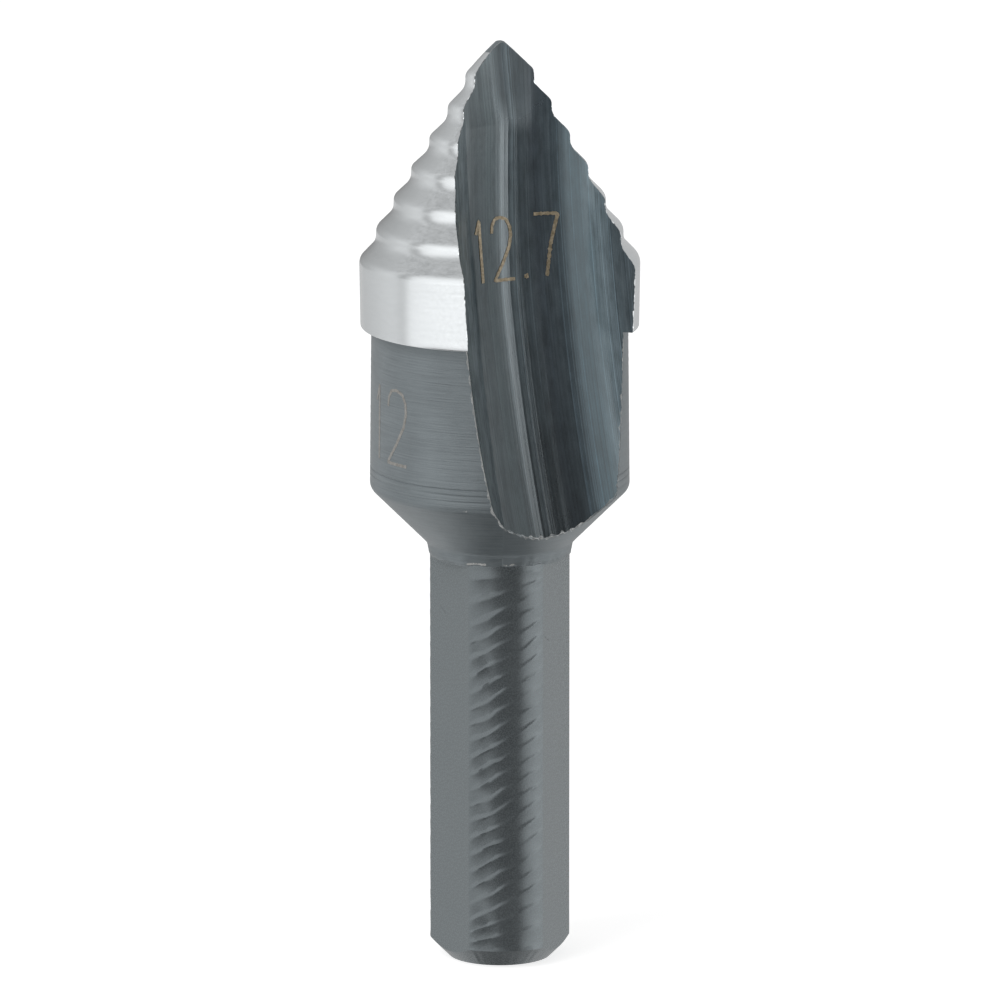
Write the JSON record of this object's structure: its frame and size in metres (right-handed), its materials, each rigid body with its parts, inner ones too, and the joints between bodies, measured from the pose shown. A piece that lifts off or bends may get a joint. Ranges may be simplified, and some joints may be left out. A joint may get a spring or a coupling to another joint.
{
  "type": "step drill",
  "caption": "Self-starting step drill with a stepped cutting cone, straight flutes and a round shank with flats, for drilling and widening holes in sheet metal.",
  "frame": {"origin": "centre of the shank's end face, on the drill's axis", "axes": "+Z along the drill's axis from the shank end to the cutting tip, -Y towards the viewer of the picture, +X to the viewer's right"},
  "size_m": [0.0126, 0.0122, 0.0423],
  "materials": {
    "tool_steel": "ground steel on the steps, dark turned steel below"
  },
  "bodies": {
    "root": {"step_drill": "tool_steel"}
  },
  "joints": []
}
